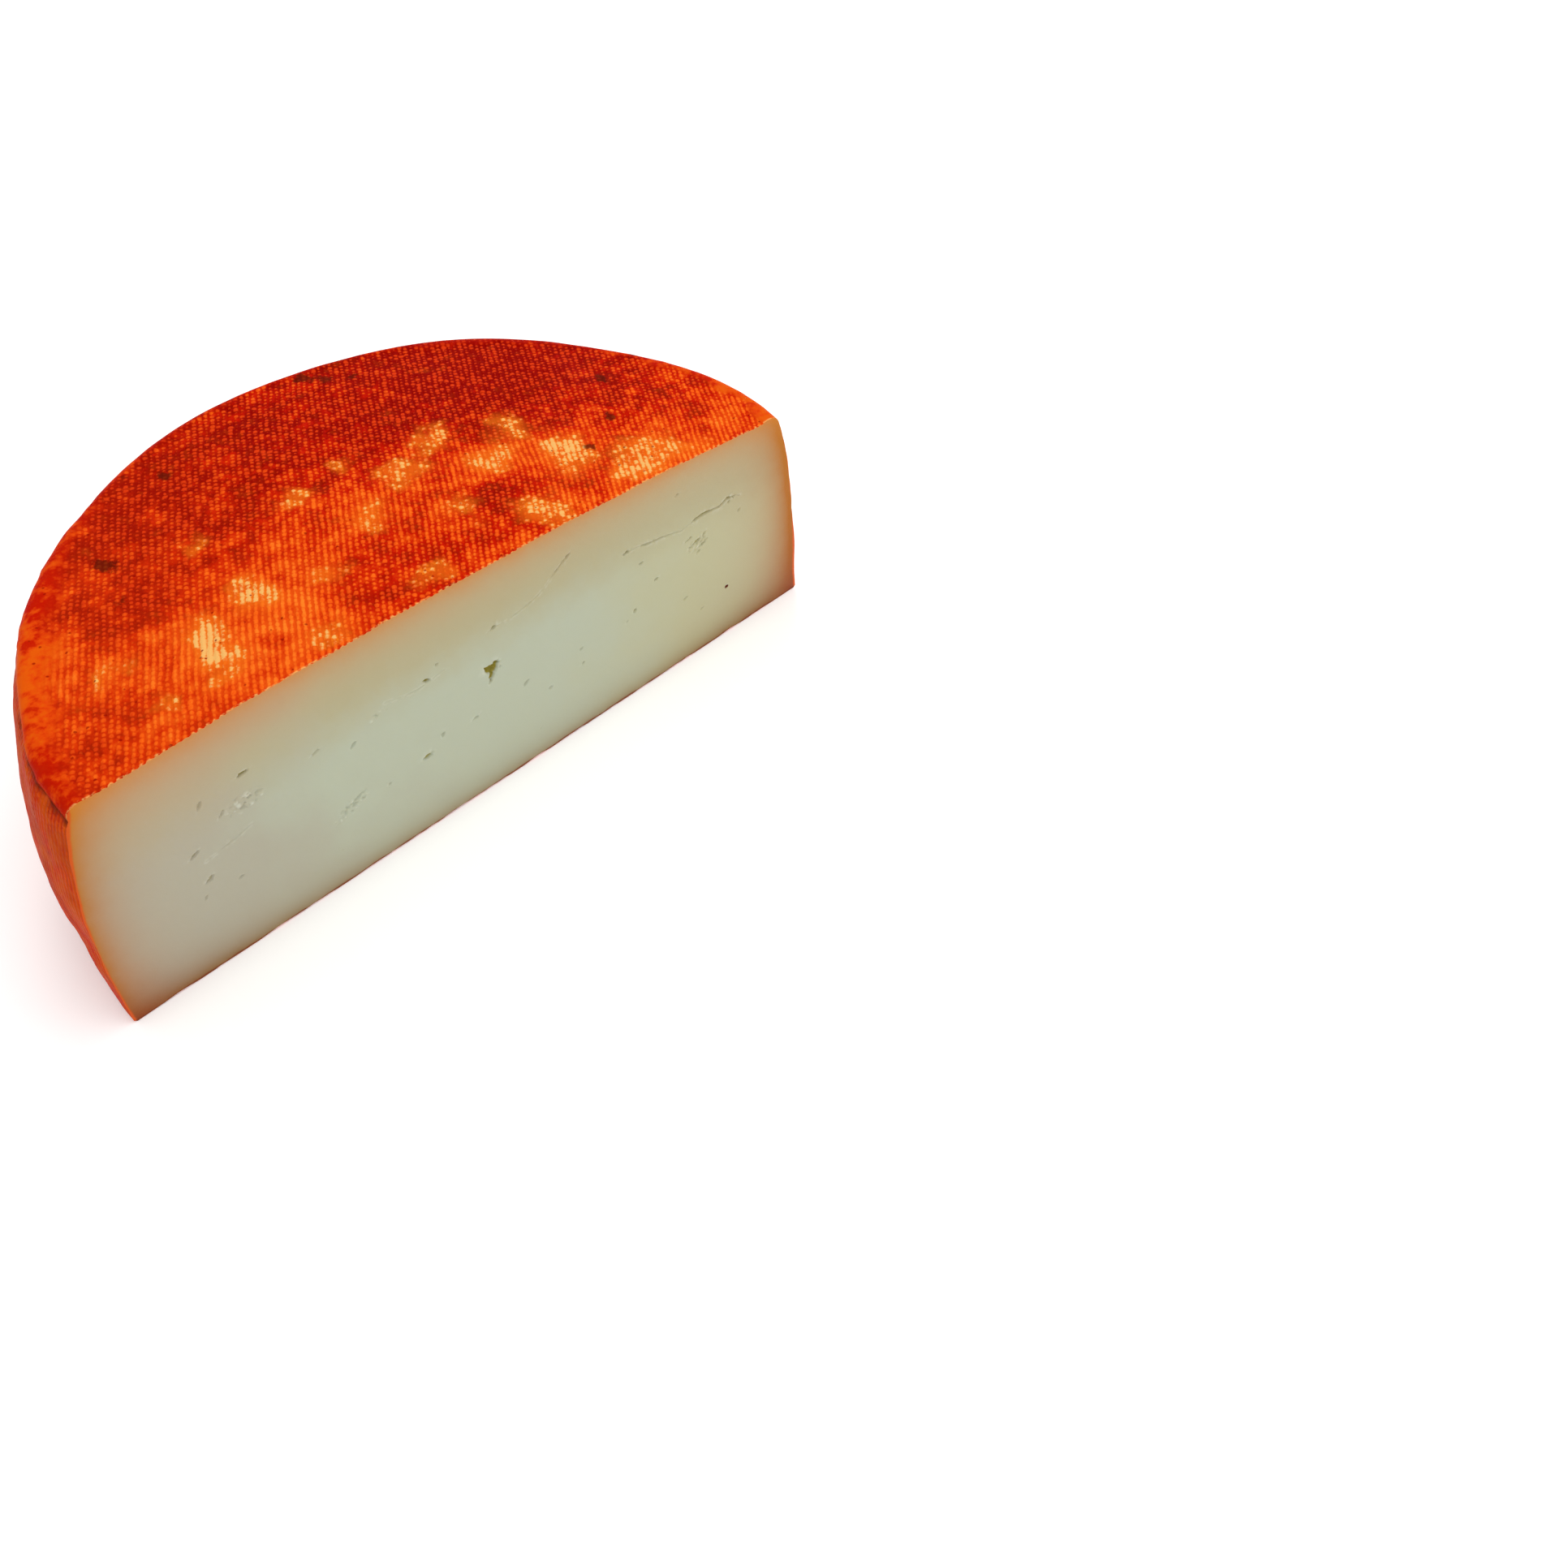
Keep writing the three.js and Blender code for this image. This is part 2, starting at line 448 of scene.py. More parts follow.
def anticlockwise(points, faces):
    """The same triangles, each turned to run anticlockwise in its plane, without any that have no
    area."""
    a, b, c = (points[faces[:, k]] for k in range(3))
    area = (b[:, 0] - a[:, 0]) * (c[:, 1] - a[:, 1]) - (b[:, 1] - a[:, 1]) * (c[:, 0] - a[:, 0])
    faces = np.where((area < 0)[:, None], faces[:, ::-1], faces)
    return faces[np.abs(area) > SMALLEST_AREA]


def top_patch(m, rim_points):
    """The woven top. Its inside is a grid of thread places, locked to the weave, kept where it falls
    inside the half disc. Its edge is the shoulder's first ring and, along the cut, the places where
    the weave's steps cross the knife. A strip of triangles joins the two. Then every point is raised
    to the finished top's height."""
    reach = m.rim_radius * 1.12
    most_p, most_q = (int(reach / m.pitch * steps) for steps in (ACROSS_STEPS, ALONG_STEPS))
    steps_p, steps_q = np.arange(-most_p, most_p + 1), np.arange(-most_q, most_q + 1)
    q, p = np.meshgrid(steps_q * m.pitch / ALONG_STEPS, steps_p * m.pitch / ACROSS_STEPS)
    x, y = to_wheel(m, p, q)
    room = field_radius(m, np.arctan2(y, x)) - np.hypot(x, y)
    inside = ((y > EDGE_GAP) & (room > EDGE_GAP)).ravel()
    faces = grid_faces(*p.shape)
    faces = faces[inside[faces].all(1)]
    used, places = np.unique(faces, return_inverse=True)
    faces = places.reshape(-1, 4)
    field = np.stack([x.ravel(), y.ravel()], -1)[used]

    fine = np.linspace(rim_points[-1, 0], rim_points[0, 0], KNIFE_SAMPLES)
    across = to_threads(m, fine, 0 * fine)[0] / m.pitch * ACROSS_STEPS
    wanted = np.arange(math.ceil(across[0]), math.floor(across[-1]) + 1)
    knife = np.interp(wanted, across, fine)
    knife = knife[(knife > fine[0] + EDGE_GAP) & (knife < fine[-1] - EDGE_GAP)]
    edge = np.concatenate([rim_points, np.stack([knife, 0 * knife], -1)])

    points = np.concatenate([field, edge])
    loops = np.concatenate([open_edges(faces), ring(len(field), len(edge))])
    strip = fill_between(points, loops)
    z = top_relief(m, points[:, 0], points[:, 1])
    z[len(field):len(field) + len(rim_points)] = top_height(m, rim_points[:, 0], rim_points[:, 1])
    knife_line = np.stack([knife, top_relief(m, knife, 0 * knife)], -1)
    return np.column_stack([points, z]), [faces[:, ::-1], strip], knife_line


def hexagons(low, high, step):
    """Points of an even three-way grid that cover a box, step apart."""
    rows = np.arange(low[1], high[1], step * math.sqrt(0.75))
    columns = np.arange(low[0], high[0], step)
    x, y = np.meshgrid(columns, rows)
    x = x + (np.arange(len(rows)) % 2 * step / 2)[:, None]
    return np.stack([x.ravel(), y.ravel()], -1)


def fill_inside(loop, inner):
    """Triangles, anticlockwise, over the inside of a loop of points and the points within it. Returns
    all points in order, the loop's first."""
    points = np.concatenate([loop, inner])
    made = delaunay_2d_cdt([Vector(p) for p in points], [], [list(range(len(loop)))], 1, 1e-7)
    if len(made[0]) != len(points):
        raise RuntimeError("two points of a flat face fall together")
    return points, anticlockwise(points, np.array([list(f) for f in made[2]]))


def base_patch(m, foot):
    """The underside: flat on the foot's ring, with shallow hollows inside it. Returns its points, its
    faces turned to look down, and its line along the cut from left to right."""
    line = np.arange(foot[-1, 0] + 1.2, foot[0, 0] - 1.0, BASE_LINE_STEP)
    loop = np.concatenate([foot, np.stack([line, 0 * line], -1)])
    inner = hexagons((-m.foot_radius, 2.0), (m.foot_radius, m.foot_radius * 1.1), BASE_STEP)
    angle = np.arctan2(inner[:, 1], inner[:, 0])
    inner = inner[np.hypot(*inner.T) < side_radius(m, angle, 0.0) - BASE_GAP]
    points, faces = fill_inside(loop, inner)
    x, y = points.T
    from_foot = side_radius(m, np.arctan2(y, x), 0.0) - FOOT_EDGE - np.hypot(x, y)
    hollows = np.clip(0.25 + 0.5 * cloud(x, y, 7, 51) + 0.3 * cloud(x, y, 2.5, 52), 0, 1)
    z = 0.8 * hollows * rise(from_foot, 0, 8)
    z[: len(foot)] = 0
    cut_line = np.stack([line, z[len(foot):len(loop)]], -1)
    return np.column_stack([points, z]), [faces[:, ::-1]], cut_line


# Openings in the cut: (x, z, half length, half width, tilt in degrees, depth), in millimetres.
OPENINGS = (
    (0.9, 42.6, 2.8, 1.7, 20, 2.0), (-0.6, 43.3, 1.7, 0.9, -35, 1.8), (0.0, 40.4, 2.0, 0.7, 70, 1.6),
    (-0.7, 38.4, 0.9, 0.5, 45, 1.3), (-68.0, 56.2, 1.9, 0.65, 12, 1.2), (-18.5, 51.3, 1.1, 0.6, -30, 1.0),
    (-14.8, 54.6, 0.6, 0.3, 25, 0.5), (2.5, 55.4, 1.7, 0.5, 14, 0.7), (28.3, 64.5, 1.3, 0.45, 38, 0.6),
    (23.9, 61.7, 0.9, 0.35, 30, 0.4), (47.2, 54.1, 1.0, 0.55, 8, 0.9), (52.1, 47.5, 0.8, 0.4, 25, 0.6),
    (57.3, 38.6, 1.0, 0.45, 10, 0.7), (48.8, 31.9, 0.8, 0.55, 70, 0.7), (45.7, 29.7, 0.6, 0.3, 40, 0.4),
    (-22.9, 26.1, 1.8, 0.9, 15, 0.8), (29.1, 24.6, 0.8, 0.4, 25, 0.5), (29.1, 30.2, 0.7, 0.35, 40, 0.4),
    (17.4, 23.3, 0.7, 0.35, 20, 0.4), (10.0, 30.5, 1.0, 0.5, 35, 0.5), (-7.0, 29.2, 1.3, 0.6, 20, 0.5),
    (-17.3, 30.3, 0.9, 0.5, 60, 0.5), (-35.0, 25.1, 0.8, 0.4, 30, 0.4), (-41.3, 44.8, 1.4, 0.45, 40, 0.5),
    (-50.7, 49.5, 1.6, 0.4, 20, 0.4), (-79.5, 54.3, 1.7, 0.5, 58, 0.5), (-85.3, 40.7, 1.8, 0.5, 28, 0.6),
    (-84.5, 30.7, 1.5, 0.7, 25, 0.6), (-77.8, 25.2, 0.9, 0.45, 15, 0.4), (-87.0, 25.7, 0.9, 0.35, 50, 0.4),
    (-76.0, 48.0, 1.2, 0.35, 45, 0.4), (66.0, 63.5, 0.8, 0.25, 15, 0.3), (89.5, 45.5, 0.8, 0.4, 60, 0.4),
    (74.5, 16.5, 1.0, 0.3, 25, 0.4), (68.0, 24.5, 1.2, 0.3, 12, 0.4), (12.0, 10.5, 0.5, 0.3, 20, 0.3),
    (84.5, 18.9, 0.65, 0.45, 35, 0.6), (69.6, 45.6, 1.3, 0.45, 15, 0.6), (72.6, 43.2, 2.2, 0.6, 12, 0.9),
    (75.6, 44.4, 1.1, 0.45, 40, 0.7), (75.3, 41.2, 1.9, 0.6, 24, 0.9), (70.2, 42.4, 1.0, 0.4, -20, 0.5),
    (73.4, 39.2, 1.2, 0.35, 30, 0.5),
)

# Cracks: (points, greatest half width, depth).
CRACKS = (
    (((47.2, 54.1), (51.0, 53.9), (55.0, 52.8), (60.5, 52.0), (66.9, 50.4), (71.5, 51.2), (75.7, 51.6),
      (81.7, 50.8), (84.5, 52.1), (87.6, 51.6), (89.5, 50.6)), 0.42, 0.8),
    (((2.5, 55.4), (7.5, 55.2), (12.9, 56.1), (16.5, 57.0), (19.5, 58.6), (23.9, 61.7), (28.3, 64.5)),
     0.2, 0.35),
    (((-83.5, 36.9), (-80.1, 37.6), (-74.5, 38.6), (-70.5, 39.9)), 0.25, 0.3),
    (((-30.5, 52.2), (-25.0, 50.6), (-21.0, 50.2), (-13.0, 51.6)), 0.22, 0.25),
)

# Dark specks in the cut: (x, z, half width, half height, strength).
SPECKS = ((84.5, 18.9, 0.75, 0.6, 1.6), (-18.5, 51.3, 0.6, 0.4, 0.8), (-52.0, 12.5, 0.5, 0.4, 0.7))

# Crumbly places: (x, z, half length, half width, tilt in degrees, depth).
CRUMBS = (
    (-69.9, 47.6, 5.8, 3.2, 5, 0.4), (-46.5, 25.2, 7.0, 2.4, 25, 0.4), (73.0, 42.4, 4.6, 2.6, 15, 0.35),
    (85.8, 51.6, 2.6, 1.6, 10, 0.7), (-33.0, 49.5, 3.5, 1.2, 20, 0.35),
)


def turned(x, z, cx, cz, tilt):
    """Places along and across a line through (cx, cz) tilted by some degrees."""
    c, s = math.cos(math.radians(tilt)), math.sin(math.radians(tilt))
    return (x - cx) * c + (z - cz) * s, (z - cz) * c - (x - cx) * s


def from_line(x, z, line):
    """Distance to a line of points, and the share of the way along it."""
    best, share = np.full(np.shape(x), 1e9), np.zeros(np.shape(x))
    for k, ((ax, az), (bx, bz)) in enumerate(zip(line[:-1], line[1:])):
        dx, dz = bx - ax, bz - az
        t = np.clip(((x - ax) * dx + (z - az) * dz) / (dx * dx + dz * dz), 0, 1)
        far = np.hypot(x - ax - t * dx, z - az - t * dz)
        share = np.where(far < best, (k + t) / (len(line) - 1), share)
        best = np.minimum(best, far)
    return best, share


def openings(x, z):
    """Three numbers for places on the cut: the depth of the openings, cracks and crumbs, how near a
    place is to one of them, from 1 inside to 0 a little way off, and how far torn paste stands up
    beside them. An opening is an ellipse whose rim is roughened, with a steep wall and a torn lip on
    its upper side."""
    rough = 0.34 * cloud(x, z, 1.3, 61) + 0.22 * cloud(x, z, 0.55, 62)
    torn = rise(cloud(x, z, 0.9, 69), -0.5, 0.6)
    depth, near, burr = np.zeros(np.shape(x)), np.zeros(np.shape(x)), np.zeros(np.shape(x))
    for cx, cz, long, wide, tilt, deep in OPENINGS:
        u, v = turned(x, z, cx, cz, tilt)
        out = np.hypot(u / long, v / wide) + rough
        depth = np.maximum(depth, deep * (1 - rise(out, 0.5, 1.05)))
        lip = bell(out, 1.35, 0.3) * rise(v, -0.1, 0.5)
        burr = np.maximum(burr, 0.16 * lip * torn)
        near = np.maximum(near, 1 - rise(np.hypot(u / (long + 0.7), v / (wide + 0.7)), 0.9, 1.05))
    for line, wide, deep in CRACKS:
        far, share = from_line(x, z, line)
        open_here = np.clip(0.5 + 0.9 * cloud(share * len(line), 0 * x, 0.8, 63), 0.12, 1) * wide
        far = far + 0.1 * cloud(x, z, 0.7, 64)
        inside = 1 - rise(far, open_here * 0.4, open_here + 0.16)
        depth = np.maximum(depth, deep * open_here / wide * inside)
        burr = np.maximum(burr, 0.13 * bell(far - open_here, 0.35, 0.25) * torn)
        near = np.maximum(near, 1 - rise(far, 0.8, 1.1))
    for cx, cz, long, wide, tilt, deep in CRUMBS:
        u, v = turned(x, z, cx, cz, tilt)
        field = 1 - rise(np.hypot(u / long, v / wide), 0.5, 1.1)
        along, over = turned(x, z, 0, 0, 24)
        rubble = cloud(along, over * 1.9, 1.6, 65) + 0.6 * cloud(x, z, 0.6, 66)
        depth = np.maximum(depth, deep * rise(rubble, 0.3, 0.75) * field)
        burr = np.maximum(burr, 0.3 * rise(-rubble, 0.35, 0.9) * field)
        near = np.maximum(near, 1 - rise(np.hypot(u / (long + 0.5), v / (wide + 0.5)), 1.0, 1.1))
    return depth, near, burr


def cut_patch(side, top_line, base_line):
    """The cut face. Its outline is the base's, the side's and the top's own edges, its points lie
    closer together round the openings, and each is sunk into the paste by the depth of what opens
    there, with a slight waviness from the knife."""
    right, left = side[:, 0][:, [0, 2]], side[:, -1][:, [0, 2]]
    loop = np.concatenate([left[-1:], base_line, right[::-1], top_line[::-1], left[:-1]])
    low, high = loop.min(0), loop.max(0)
    coarse, fine = hexagons(low, high, CUT_STEP), hexagons(low, high, FINE_STEP)
    coarse = coarse[openings(*coarse.T)[1] < 0.05]
    fine = fine[openings(*fine.T)[1] >= 0.5]
    inner = np.concatenate([coarse, fine])

    def room(x, z, floor):
        """How far a place lies from the outline, or from a line drawn at floor above the base."""
        top = np.interp(x, top_line[:, 0], top_line[:, 1])
        right_x = np.interp(z, right[::-1, 1], right[::-1, 0])
        left_x = np.interp(z, left[::-1, 1], left[::-1, 0])
        return np.minimum.reduce([top - z, z - floor, right_x - x, x - left_x])

    points, faces = fill_inside(loop, inner[room(*inner.T, HOLLOW_ROOM) > CUT_GAP])
    x, z = points.T
    waves = 0.10 * cloud(x, z, 34, 67) + 0.05 * cloud(x * 0.25, z, 5, 68)
    depth, near, burr = openings(x, z)
    y = depth - burr + waves * rise(room(x, z, 0), 0.5, 4)
    y[: len(loop)] = 0
    return np.column_stack([x, y, z]), [faces]


# --------------------------------------------------------------------------------------------------
# Numbers kept on the surface for the finishes to read.

# Where the rub lies thicker or thinner on the top: (x, y, half width, half depth, amount).
RUB_CLOUDS = (
    (22, 18, 12, 10, 0.42), (-16, 12, 15, 14, 0.25), (-70, 46, 12, 12, 0.3), (60, 50, 22, 14, 0.25),
    (-100, 8, 16, 14, 0.32), (50, 76, 34, 22, 0.24), (-38, 78, 20, 9, 0.12), (82, 32, 14, 16, 0.12),
    (-84, 20, 12, 14, 0.12), (-60, 12, 20, 14, -0.2), (-38, 22, 14, 14, -0.2), (64, 4, 18, 10, -0.26),
    (32, 33, 14, 8, -0.25), (-8, 40, 22, 9, -0.22), (-96, 34, 10, 18, -0.12), (50, 24, 10, 9, -0.08),
    (12, 52, 16, 8, -0.12), (-84, 44, 9, 10, -0.3), (-66, 30, 12, 8, -0.1), (40, 60, 40, 18, 0.05),
    (23, 2, 9, 7, 0.14), (53, 10, 10, 9, 0.12), (-52, 15, 9, 7, 0.1), (-66, 58, 12, 9, -0.12),
    (8, 10, 8, 8, 0.08),
)

# Worn places on the top: (x, y, half width, half depth, strength).
WORN = (
    (-57, 21, 4.5, 8, 1.4), (-60, 14, 3.5, 4, 1.1), (-42, 31, 4.5, 6, 1.1), (11, 44, 6, 5, 0.85),
    (28, 52, 5, 4, 0.8), (31, 34, 5.5, 5.5, 1.0), (44, 41, 4.5, 6, 0.95), (47, 22, 6, 6, 0.95),
    (50, 27, 4, 3.5, 0.9), (29, 8, 5.5, 6.5, 1.05), (13, 22, 4.5, 6, 0.7), (-5, 34, 4.5, 5, 0.6),
    (-24, 23, 4.5, 5, 0.55), (64, 13, 8, 6, 0.75), (70, 5, 9, 4, 0.7), (58, 6, 5, 5, 0.75),
    (-43, 54, 3, 3, 0.55), (-15, 51, 4.5, 4, 0.7), (-6, 6, 5, 3, 0.5), (-38, 6, 6, 4, 0.5),
    (-80, 28, 6, 4, 0.45),
    (52, 5, 3, 3, 0.6), (2, 58, 3, 3, 0.5), (-74, 12, 3, 3, 0.5), (22, 48, 3, 3, 0.6),
)

# Brown stains on the top: (x, y, half width, half depth, strength).
STAINS = (
    (-61, 63, 2.6, 3.4, 1.0), (-33, 85, 2.6, 2.4, 0.95), (-65, 48, 2.4, 2.4, 0.6), (78, 45, 2.2, 2.2, 0.9),
    (94, 49, 1.5, 1.5, 0.8), (68, 29, 1.8, 2.2, 0.95), (54, 21, 1.5, 1.5, 0.9), (16, 99, 3.5, 2.4, 0.95),
    (21, 95, 3.5, 2.4, 0.85), (27, 91, 3.0, 2.0, 0.7), (32, 87, 2.5, 1.8, 0.45),
    (-41, 91, 2.0, 2.0, 0.5), (-10, 80, 1.6, 1.6, 0.5), (-95, 12, 2.0, 2.0, 0.35), (-28, 68, 1.2, 1.2, 0.4),
)


def surface_numbers(m, x, y, z):
    """Named numbers for every point, from its place. Those that say where a finish goes run from 0 to
    1, rib and row count the threads, and to_end and to_top are distances behind the rind in
    millimetres."""
    angle, radius = np.arctan2(np.maximum(y, 0), x), np.hypot(x, y)
    along = angle * m.foot_radius
    beyond_rim, below_rim = radius - side_radius(m, angle, 1.0), rim_height(m, angle) - z
    on_side = rise(beyond_rim, -1.6, 0.3) * rise(below_rim, 1.2, 4.5)
    under = 1 - rise(z, 0.0, 0.9)
    strength = print_strength(m, x, y) * (1 - on_side)
    across_ribs, along_ribs = to_threads(m, x, y)

    rub_top = 0.49 + 0.37 * rise(y, 18, 72) + blobs(x, y, RUB_CLOUDS) + 0.10 * cloud(x, y, 11, 71)
    rub_side = 0.5 + 0.25 * cloud(along, z, 30, 72) + 0.2 * cloud(along, z, 11, 73)
    rub_under = 0.55 + 0.25 * cloud(x, y, 26, 74)
    worn = blobs(x + 3 * cloud(x, y, 5, 75), y + 3 * cloud(x, y, 5, 76), WORN)
    stain = blobs(x + 1.2 * cloud(x, y, 2, 77), y + 1.2 * cloud(x, y, 2, 78), STAINS)
    at_ends = np.clip(bell(angle, LEFT_BARE, 0.5) + bell(angle, 0, 0.5), 0, 1)

    droop = np.interp(x, (-m.foot_radius, m.foot_radius), (m.right_droop, -m.right_droop))
    crown = m.crown * (1 - np.minimum(np.abs(x) / m.rim_radius, 1) ** CROWN_POWER)
    end_radius = side_radius(m, np.where(x > 0, 0.0, math.pi), np.clip(z / m.rim_height, 0, 1))
    depth, _, torn = openings(x, z)
    return {
        "rib": np.where(on_side > 0.5, along, across_ribs) / m.pitch,
        "row": np.where(on_side > 0.5, z, along_ribs) / m.pitch,
        "print": EVEN_PRINT + (cloth_print(m, x, y) - EVEN_PRINT) * strength,
        "rub": np.where(under > 0.5, rub_under, rub_top * (1 - on_side) + rub_side * on_side),
        "worn": worn * (1 - on_side) * (1 - under),
        "stain": stain * (1 - under),
        "shoulder": smooth_ring(m, x, y) * (0.3 + 0.7 * at_ends) * (1 - on_side) * (1 - under),
        "side": on_side * (1 - under),
        # The crease's strength, which the rind's finish darkens partly as painted shade.
        "crease": crease(m, angle, z) * on_side,
        "under": under,
        "to_end": np.maximum(end_radius - np.abs(x), 0),
        "to_top": np.maximum(m.rim_height + droop + crown - z, 0),
        "opening": np.clip(depth / 1.5, 0, 1),
        "speck": blobs(x, z, SPECKS),
        # Where the paste's lips stand up, which the paste's finish paints paler, partly as a painted
        # highlight.
        "torn": np.clip(torn / 0.25, 0, 1),
    }


# Where each patch lies on the bake's square map: (left, bottom, units of the map to a millimetre).
MAP_PLACES = {
    TOP: (0.005, 0.575, 0.0037),
    SIDE: (0.815, 0.01, 0.0024),
    BASE: (0.14, 0.01, 0.0023),
    CUT: (0.005, 0.285, 0.0034),
}


def map_places(m, points, patch):
    """Each point's place on the bake's map: the top and base seen from above, the cut from in front,
    and the shoulder and side unrolled, with the way round running up the map."""
    x, y, z = points.T
    angle, radius = np.arctan2(np.maximum(y, 0), x), np.hypot(x, y)
    down = np.maximum(side_radius(m, angle, 1.0) - radius, 0) * rise(z, 20, 60) + (m.rim_height + 3 - z)
    flat = {
        TOP: (x + m.rim_radius + 1, y),
        SIDE: (down, angle * m.foot_radius),
        BASE: (x + m.foot_radius + 1, y),
        CUT: (x + m.foot_radius + 1, z),
    }
    uv = np.zeros((len(points), 2))
    for key, (across, up) in flat.items():
        left, bottom, scale = MAP_PLACES[key]
        own = patch == key
        uv[own] = np.stack([left + scale * across, bottom + scale * up], -1)[own]
    return uv


def joined(patches):
    """One list of points and one of faces from named patches, each its points and its arrays of faces,
    with points that lie together made one. Returns the points, the faces and each face's patch."""
    points, faces, patch = [], [], []
    start = 0
    for key, (own, face_sets) in patches.items():
        own = own.reshape(-1, 3)
        for some in face_sets:
            faces += (some + start).tolist()
            patch += [key] * len(some)
        points.append(own)
        start += len(own)
    points = np.concatenate(points)
    _, first, place = np.unique(np.round(points, 5), axis=0, return_index=True, return_inverse=True)
    order = np.argsort(first)
    rank = np.empty(len(order), int)
    rank[order] = np.arange(len(order))
    place = rank[place.ravel()]
    return points[first[order]], [[place[i] for i in f] for f in faces], np.array(patch)


def half_wheel_mesh(m):
    """The closed surface as a Blender mesh, with its numbers, its bake map and its two finishes'
    faces."""
    side, side_faces = side_patch(m)
    top, top_faces, top_line = top_patch(m, side[0][:, :2])
    base, base_faces, base_line = base_patch(m, side[-1][:, :2])
    cut, cut_faces = cut_patch(side, top_line, base_line)
    patches = {
        TOP: (top, top_faces),
        SIDE: (side, [side_faces[:, ::-1]]),
        BASE: (base, base_faces),
        CUT: (cut, cut_faces),
    }
    points, faces, patch = joined(patches)

    spread = side[..., 0]
    middle = (spread.min() + spread.max()) / 2
    place = np.array([(LOW.x + HIGH.x) / 2 / MM - middle, LOW.y / MM, LOW.z / MM])
    mesh = bpy.data.meshes.new("half_cheese_wheel")
    mesh.from_pydata(((points + place) * MM).tolist(), [], faces)
    mesh.polygons.foreach_set("material_index", (patch == CUT).astype(np.int32))
    mesh.polygons.foreach_set("use_smooth", np.ones(len(faces), bool))

    for name, numbers in surface_numbers(m, *points.T).items():
        kept = mesh.attributes.new(name, "FLOAT", "POINT")
        kept.data.foreach_set("value", numbers.astype(np.float32))

    corner = np.empty(len(mesh.loops), np.int32)
    mesh.loops.foreach_get("vertex_index", corner)
    sides = np.array([len(f) for f in faces])
    uv = map_places(m, points[corner], np.repeat(patch, sides))
    layer = mesh.uv_layers.new(name="OFBake")
    layer.uv.foreach_set("vector", uv.astype(np.float32).ravel())

    on_cut, on_rind = np.zeros((2, len(points)), bool)
    on_cut[corner[np.repeat(patch == CUT, sides)]] = True
    on_rind[corner[np.repeat(patch != CUT, sides)]] = True
    ends = np.empty(len(mesh.edges) * 2, np.int32)
    mesh.edges.foreach_get("vertices", ends)
    sharp = mesh.attributes.new("sharp_edge", "BOOLEAN", "EDGE")
    sharp.data.foreach_set("value", (on_cut & on_rind)[ends.reshape(-1, 2)].all(1))
    mesh.validate()
    mesh.update()
    return mesh


# --------------------------------------------------------------------------------------------------
# Finishes.


class Shade:
    """A node's output, with arithmetic: an expression on shades adds the Math nodes that work it
    out."""

    def __init__(self, tree, socket):
        self.tree, self.socket = tree, socket

    def __add__(self, other):
        return math_node(self.tree, "ADD", self, other)

    def __sub__(self, other):
        return math_node(self.tree, "SUBTRACT", self, other)

    def __rsub__(self, other):
        return math_node(self.tree, "SUBTRACT", other, self)

    def __mul__(self, other):
        return math_node(self.tree, "MULTIPLY", self, other)

    def __pow__(self, other):
        return math_node(self.tree, "POWER", self, other)

    def larger(self, other):
        return math_node(self.tree, "MAXIMUM", self, other)

    def floor(self):
        return math_node(self.tree, "FLOOR", self)

    def cosine(self):
        return math_node(self.tree, "COSINE", self)

    def exponent(self):
        """e to the power of this number."""
        return math_node(self.tree, "EXPONENT", self)

    __radd__, __rmul__ = __add__, __mul__


def add_node(tree, kind, settings=None, values=None, output=0):
    """Adds a node, sets its settings and a ramp's stops first, then its sockets, and returns one
    output."""
    node = tree.nodes.new(kind)
    for name, value in (settings or {}).items():
        if name != "stops":
            setattr(node, name, value)
    for k, (place, tone) in enumerate((settings or {}).get("stops", ())):
        element = node.color_ramp.elements[k] if k < 2 else node.color_ramp.elements.new(place)
        element.position, element.color = place, (*tone, 1)
    for key, value in (values or {}).items():
        if isinstance(value, Shade):
            tree.links.new(value.socket, node.inputs[key])
        else:
            node.inputs[key].default_value = value
    return Shade(tree, node.outputs[output])


def math_node(tree, operation, *values):
    return add_node(tree, "ShaderNodeMath", {"operation": operation}, dict(enumerate(values)))


# Sockets of the Mix node that mixes colours.
MIX_SHARE, MIX_FIRST, MIX_SECOND, MIX_RESULT = 0, 6, 7, 2


